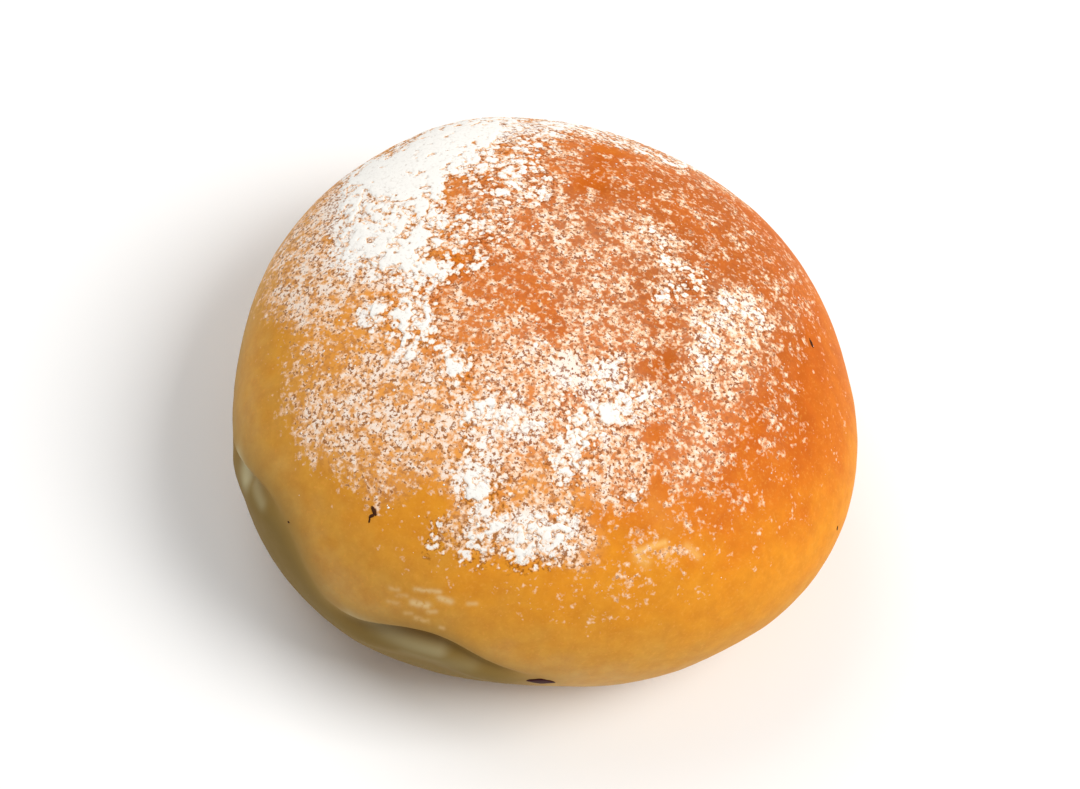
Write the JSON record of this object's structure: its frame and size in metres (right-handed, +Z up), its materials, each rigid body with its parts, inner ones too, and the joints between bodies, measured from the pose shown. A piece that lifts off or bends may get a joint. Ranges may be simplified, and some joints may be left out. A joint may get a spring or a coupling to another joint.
{
  "type": "sugared bun",
  "caption": "Round soft bun with a browned crown dusted with icing sugar, folds of dough low on one side and a flat base.",
  "frame": {"origin": "centre of the flat base", "axes": "+Z up through the crown, +X to the bun's right, -Y towards its front, where the sugar's front bank lies"},
  "size_m": [0.1004, 0.1, 0.0483],
  "materials": {
    "crust": "soft browned crust, satin, orange-brown on the crown and pale tan low on the sides",
    "icing_sugar": "matt white powder"
  },
  "bodies": {
    "root": {"bun": "crust"}
  },
  "joints": []
}
